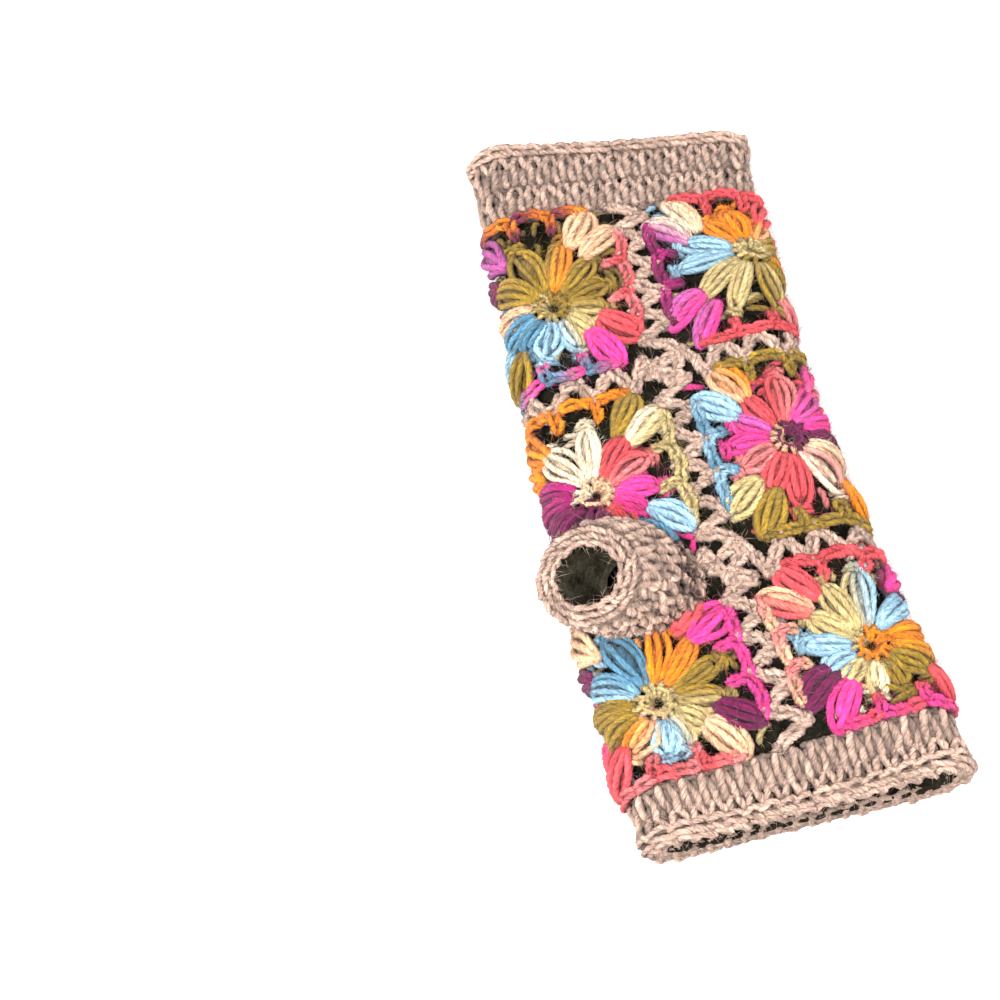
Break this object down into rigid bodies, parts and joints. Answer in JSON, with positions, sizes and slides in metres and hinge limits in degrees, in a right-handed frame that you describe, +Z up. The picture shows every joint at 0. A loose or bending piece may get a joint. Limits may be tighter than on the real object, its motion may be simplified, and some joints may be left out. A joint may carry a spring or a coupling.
{
  "type": "crocheted fingerless hand warmer",
  "caption": "Fingerless crocheted wool hand warmer of flower squares joined by a net, with plain cuffs, a thumb sleeve and a fleece lining, lying flat.",
  "frame": {"origin": "on the surface that it lies on, under the middle of its box", "axes": "+Z up; +Y along the tube from the finger end to the wrist end; +X to the right, with the thumb sleeve on the -X side"},
  "size_m": [0.1128, 0.257, 0.0516],
  "materials": {
    "fleece": "soft grey-green brushed fleece",
    "wool_taupe": "matt taupe wool yarn, crocheted",
    "wool_finger_left": "matt space-dyed wool yarn in bright colours, crocheted",
    "wool_finger_right": "matt space-dyed wool yarn in bright colours, crocheted",
    "wool_finger_under": "matt space-dyed wool yarn in bright colours, crocheted",
    "wool_middle_left": "matt space-dyed wool yarn in bright colours, crocheted",
    "wool_middle_right": "matt space-dyed wool yarn in bright colours, crocheted",
    "wool_middle_under": "matt space-dyed wool yarn in bright colours, crocheted",
    "wool_wrist_left": "matt space-dyed wool yarn in bright colours, crocheted",
    "wool_wrist_right": "matt space-dyed wool yarn in bright colours, crocheted",
    "wool_wrist_under": "matt space-dyed wool yarn in bright colours, crocheted"
  },
  "bodies": {
    "root": {"lining": "fleece", "thumb_lining": "fleece", "square_finger_left": "wool_finger_left", "square_finger_right": "wool_finger_right", "square_finger_under": "wool_finger_under", "square_middle_left": "wool_middle_left", "square_middle_right": "wool_middle_right", "square_middle_under": "wool_middle_under", "square_wrist_left": "wool_wrist_left", "square_wrist_right": "wool_wrist_right", "square_wrist_under": "wool_wrist_under", "joining_net": "wool_taupe", "finger_cuff": "wool_taupe", "wrist_cuff": "wool_taupe", "finger_edge": "wool_taupe", "wrist_edge": "wool_taupe", "thumb_sleeve": "wool_taupe", "thumb_edge": "wool_taupe"}
  },
  "joints": []
}
